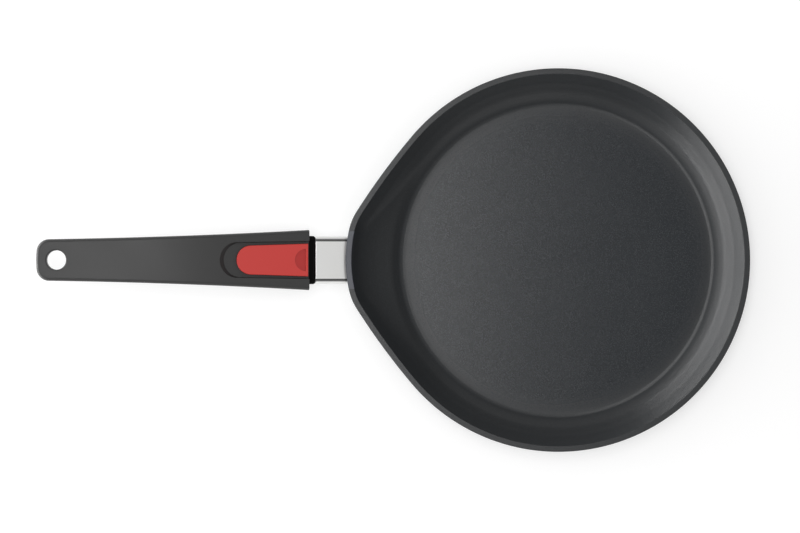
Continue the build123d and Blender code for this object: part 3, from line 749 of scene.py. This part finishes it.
def make_bowl_tree():
    """Carries a profile round an outline of named arcs."""
    tree, given, result = new_tree("bowl", "GeometryNodeTree", bowl_inputs(), {"Bowl": GEOMETRY})
    grid, signed_turn, station = profile_grid(tree, given)
    place = carried_place(tree, given, signed_turn, station)
    moved = add_node(tree, "GeometryNodeSetPosition", {"Geometry": grid, "Position": place})
    tree.links.new(finished_bowl(tree, given, moved.outputs[0]), result["Bowl"])
    return tree


def set_inputs(modifier, tree, values):
    """Fills a modifier's inputs by the sockets' identifiers."""
    for socket in tree.interface.items_tree:
        if socket.in_out == "INPUT" and socket.name in values:
            modifier[socket.identifier] = values[socket.name]


def link_mesh(name, mesh):
    """A mesh as an object at the origin."""
    piece = bpy.data.objects.new(name, mesh)
    bpy.context.scene.collection.objects.link(piece)
    return piece


def grown(name, tree, source, values):
    """The plain mesh that a node tree makes from a source mesh."""
    carrier = link_mesh(name + "_carrier", source)
    modifier = carrier.modifiers.new("grow", "NODES")
    modifier.node_group = tree
    set_inputs(modifier, tree, values)
    bpy.context.view_layer.update()
    depsgraph = bpy.context.evaluated_depsgraph_get()
    mesh = bpy.data.meshes.new_from_object(carrier.evaluated_get(depsgraph))
    carrier.modifiers.remove(modifier)
    bpy.data.objects.remove(carrier)
    mesh.name = name
    return mesh


def make_bowl_mesh():
    """The cast bowl with its nose, from its profile and the outline's arcs."""
    profile = bpy.data.meshes.new("bowl_profile")
    stations = [Vector((point.x * mm, point.y, point.z * mm)) for point in bowl_profile()]
    edges = [(index, index + 1) for index in range(len(stations) - 1)]
    profile.from_pydata(stations, edges, [])
    values = {
        "Steps": outline_steps,
        "Base Radius": base_radius * mm,
        "Base Height": bare_base_height * mm,
        "Weld": bowl_weld * mm,
        "Crease": bowl_crease,
        "Coating": coating,
        "Base": turned_base,
    }
    for name, (centre, radius, end) in zip(("Nose", "Corner", "Flank"), outline_arcs()):
        values[name + " Centre"] = (centre.x * mm, centre.y * mm, 0.0)
        values[name + " Shrink"] = (rim_radius - radius) * mm
        values[name + " End"] = end
    return grown("pan_casting", make_bowl_tree(), profile, values)


# The lug that carries the neck and the boss that joins it to the nose


def neck_point(distance, across, rise):
    """A point beside the neck's axis, in millimetres."""
    return mouth + along * distance + upward * rise + Vector((0.0, across, 0.0))


def nose_depth(levels, point):
    """How far a point near the nose lies outside the outline at its height; negative is inside."""
    for below, above in zip(levels, levels[1:]):
        if point.z <= above.z:
            break
    share = min(1.0, max(0.0, (point.z - below.z) / (above.z - below.z)))
    here = below.lerp(above, share)
    centre = -nose_offset * here.y
    return math.hypot(point.x - centre, point.y) - (here.x - here.y * (rim_radius - nose_radius))


def into_wall(start, end):
    """The point on a line where it reaches the middle of the nose's wall."""
    outer = wall_levels(outer_level_shares, rim_radius, wall_flare, 0.0, wall_top)
    hollow = wall_levels(hollow_level_shares, hollow_radius, hollow_flare, floor_thickness, wall_top)
    near, far = 0.0, 1.0
    for _ in range(wall_search_steps):
        middle = (near + far) / 2
        point = start.lerp(end, middle)
        if nose_depth(outer, point) + nose_depth(hollow, point) > 0:
            near = middle
        else:
            far = middle
    return start.lerp(end, far)


def rounded_section(half_width, low, high, radius):
    """Places round a rectangle with rounded corners and even steps along its sides: across and rise."""
    arcs = []
    for corner, (side, top) in enumerate(((1, 1), (-1, 1), (-1, -1), (1, -1))):
        across = side * (half_width - radius)
        rise = (high if top > 0 else low) - top * radius
        turns = [math.pi / 2 * (corner + step / corner_steps) for step in range(corner_steps + 1)]
        arcs.append([(across + radius * math.cos(turn), rise + radius * math.sin(turn)) for turn in turns])
    places = []
    for arc, following in zip(arcs, arcs[1:] + arcs[:1]):
        start, end = Vector(arc[-1]), Vector(following[0])
        places += arc + [tuple(start.lerp(end, step / side_steps)) for step in range(1, side_steps)]
    return places


def boss_rings():
    """The boss from the sleeve's end to the middle of the nose's wall."""
    start = rounded_section(boss_half_width, -boss_half_height, boss_half_height, boss_corner_radius)
    low = boss_bottom_rise - boss_half_height
    end = rounded_section(boss_half_width, low, boss_half_height, boss_corner_radius)
    first = [neck_point(boss_start, *place) for place in start]
    last = [neck_point(boss_start + boss_length, *place) for place in end]
    return [first, [into_wall(*line) for line in zip(first, last)]]


def lug_rings():
    """The lug: round its outside from the boss to its end, then down into the tongue's slot."""
    outside = rounded_section(lug_half_width, -lug_half_height, lug_half_height, lug_corner_radius)
    slot = rounded_section(slot_half_width, slot_low, slot_high, slot_corner_radius)
    runs = [(lug_end, outside), (lug_start, outside), (lug_start, slot), (slot_end, slot)]
    return [[neck_point(distance, *place) for place in places] for distance, places in runs]


def add_rings(sculpt, rings, hubs, coating_index):
    """A closed skin through rings of points in millimetres, with a hub in the middle of each end."""
    loops = [[sculpt.verts.new(point * mm) for point in ring] for ring in rings]
    first_hub, last_hub = [sculpt.verts.new(hub * mm) for hub in hubs]
    faces = []
    for loop, following in zip(loops, loops[1:]):
        for place in range(len(loop)):
            after = (place + 1) % len(loop)
            quad = (loop[place], loop[after], following[after], following[place])
            faces.append(sculpt.faces.new(quad))
    for hub, loop in ((first_hub, loops[0]), (last_hub, loops[-1])):
        for place in range(len(loop)):
            faces.append(sculpt.faces.new((hub, loop[place], loop[(place + 1) % len(loop)])))
    bmesh.ops.recalc_face_normals(sculpt, faces=faces)
    for face in faces:
        face.smooth = True
        face.material_index = coating_index


def add_neck_root(mesh):
    """Adds the lug and the boss to the bowl's mesh."""
    coating_index = mesh.materials.find("coating")
    sculpt = bmesh.new()
    sculpt.from_mesh(mesh)
    known = len(sculpt.edges)
    start = neck_point(boss_start, 0, 0)
    end = into_wall(start, neck_point(boss_start + boss_length, 0, 0))
    add_rings(sculpt, boss_rings(), (start, end), coating_index)
    slot_floor = neck_point(slot_end, 0, (slot_low + slot_high) / 2)
    add_rings(sculpt, lug_rings(), (neck_point(lug_end, 0, 0), slot_floor), coating_index)
    sculpt.edges.ensure_lookup_table()
    for edge in sculpt.edges[known:]:
        edge.smooth = edge.calc_face_angle(0.0) < neck_root_crease
    sculpt.to_mesh(mesh)
    sculpt.free()
    return mesh


bowl = link_mesh("pan_casting", add_neck_root(make_bowl_mesh()))
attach(bowl, "pan")
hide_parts("pan_body")


# CAD nodes: soft edges and finishes


def make_soft_edges():
    """Joins loose triangles and shades them smooth, with creases where faces meet at an angle."""
    tree, given, result = new_tree(
        "soft_edges",
        "GeometryNodeTree",
        {"Mesh": GEOMETRY, "Weld": NUMBER, "Crease": NUMBER},
        {"Mesh": GEOMETRY},
    )
    inputs = {"Geometry": given["Mesh"], "Distance": given["Weld"]}
    merged = add_node(tree, "GeometryNodeMergeByDistance", inputs)
    inputs = {"Geometry": merged.outputs[0], "Shade Smooth": True}
    smooth = add_node(tree, "GeometryNodeSetShadeSmooth", inputs)
    tree.links.new(keep_creases(tree, smooth.outputs[0], given["Crease"]), result["Mesh"])
    return tree


soft_edges = make_soft_edges()


def dress_node(name, finish):
    """Gives a CAD node its finish and soft edges."""
    node = nodes[name]
    node.data.materials.clear()
    node.data.materials.append(finish)
    modifier = node.modifiers.new("soft edges", "NODES")
    modifier.node_group = soft_edges
    set_inputs(modifier, soft_edges, {"Weld": node_weld * mm, "Crease": node_crease})
    weighted = node.modifiers.new("even faces", "WEIGHTED_NORMAL")
    weighted.keep_sharp = True
    weighted.weight = 100


slot_of = {part["node"]: part["material_slot"] for part in frame["record"]["subparts"]}
for name, slot in slot_of.items():
    if slot in finishes:
        dress_node(name, finishes[slot])


# The return springs


def make_coil_springs():
    """The two coils in the grip, welded, shaded smooth and given the spring steel finish."""
    mesh = nodes["return_springs"].data.copy()
    mesh.name = "coil_springs"
    sculpt = bmesh.new()
    sculpt.from_mesh(mesh)
    bmesh.ops.remove_doubles(sculpt, verts=sculpt.verts, dist=node_weld * mm)
    for face in sculpt.faces:
        face.smooth = True
    sculpt.to_mesh(mesh)
    sculpt.free()
    mesh.materials.clear()
    mesh.materials.append(finishes["spring_steel"])
    piece = link_mesh("coil_springs", mesh)
    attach(piece, "handle")
    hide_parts("return_springs")
    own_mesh(piece)


make_coil_springs()


# Floor, light and camera


def seeing_rays(tree):
    """1 for rays that show the background: from the camera, through something clear or off gloss."""
    path = add_node(tree, "ShaderNodeLightPath").outputs
    direct = calc(tree, "MAXIMUM", path["Is Camera Ray"], path["Is Transmission Ray"])
    return calc(tree, "MAXIMUM", direct, path["Is Glossy Ray"])


def make_floor():
    """A white floor that keeps a soft shadow."""
    material = bpy.data.materials.new("white_floor")
    material.use_nodes = True
    tree = material.node_tree
    shader = tree.nodes["Principled BSDF"]
    shader.inputs["Roughness"].default_value = 1.0
    shader.inputs["Specular IOR Level"].default_value = 0.0
    shader.inputs["Emission Color"].default_value = (1.0, 1.0, 1.0, 1.0)
    seen = seeing_rays(tree)
    grey = blend(tree, seen, (floor_bounce_grey,) * 3, (floor_seen_grey,) * 3)
    tree.links.new(grey, shader.inputs["Base Color"])
    tree.links.new(calc(tree, "MULTIPLY", seen, floor_glow), shader.inputs["Emission Strength"])
    mesh = bpy.data.meshes.new("floor")
    sides = ((-1, -1), (1, -1), (1, 1), (-1, 1))
    places = [(x * floor_half_width, y * floor_half_width, floor_level) for x, y in sides]
    mesh.from_pydata(places, [], [(0, 1, 2, 3)])
    mesh.materials.append(material)
    floor = link_mesh("floor", mesh)


def room_in_gloss(tree):
    """The room's strength in gloss: full at the horizon, less above and right, more at the upper left."""
    way = add_node(tree, "ShaderNodeTexCoord").outputs["Generated"]
    across, _, height = split(tree, way)
    overhead = remap(tree, height, low=0.1, high=0.9, to_low=1.0, to_high=room_zenith_share)
    right = remap(tree, across, low=0.5, high=0.95, to_low=1.0, to_high=room_right_share)
    left = remap(tree, across, low=-0.75, high=-0.25, to_low=1.0, to_high=0.0)
    raised = remap(tree, height, low=0.1, high=0.3)
    glow = calc(tree, "MULTIPLY", calc(tree, "MULTIPLY", left, raised), room_left_glow)
    return calc(tree, "ADD", calc(tree, "MULTIPLY", overhead, right), glow)


def make_room():
    """A room that lights the part evenly and shows white, apart from what gloss shows of it."""
    world = bpy.data.worlds.new("room")
    world.use_nodes = True
    bpy.context.scene.world = world
    tree = world.node_tree
    background = tree.nodes["Background"]
    background.inputs["Color"].default_value = (1.0, 1.0, 1.0, 1.0)
    gloss = add_node(tree, "ShaderNodeLightPath").outputs["Is Glossy Ray"]
    shown = between(tree, gloss, 1.0, room_in_gloss(tree))
    strength = between(tree, seeing_rays(tree), room_level, shown)
    tree.links.new(strength, background.inputs["Strength"])


def add_lamp(name, place, target, size, watts):
    """A soft oblong lamp, in metres, that the camera doesn't see."""
    light = bpy.data.lights.new(name, "AREA")
    light.shape = "RECTANGLE"
    light.size, light.size_y = size
    light.energy = watts
    lamp = bpy.data.objects.new(name, light)
    lamp.location = place
    lamp.rotation_euler = (Vector(target) - Vector(place)).to_track_quat("-Z", "Y").to_euler()
    lamp.visible_camera = False
    bpy.context.scene.collection.objects.link(lamp)


def make_camera():
    """Looks straight down on the middle of the part, as in the photograph."""
    lens = bpy.data.cameras.new("camera")
    lens.lens = camera_lens
    lens.sensor_width = camera_film_width
    lens.clip_end = camera_reach
    camera = bpy.data.objects.new("camera", lens)
    camera.location = [distance * mm for distance in camera_place]
    bpy.context.scene.collection.objects.link(camera)
    bpy.context.scene.camera = camera


make_floor()
make_room()
add_lamp("overhead_softbox", (-0.35, 0.15, 2.3), target=(-0.35, 0.15, 0.0), size=(0.54, 1.4), watts=15.5)
add_lamp("low_left_softbox", (-1.4, 0.45, 0.17), target=(0.0, 0.45, 0.02), size=(4.0, 0.34), watts=54.0)
add_lamp("front_fill", (0.9, -1.4, 0.4), target=(0.0, 0.0, 0.0), size=(2.4, 0.7), watts=2.5)
add_lamp("right_card", (0.75, 0.0, 2.2), target=(0.75, 0.0, 0.0), size=(0.7, 1.2), watts=1.5)
make_camera()
bpy.context.scene.view_settings.view_transform = "Standard"
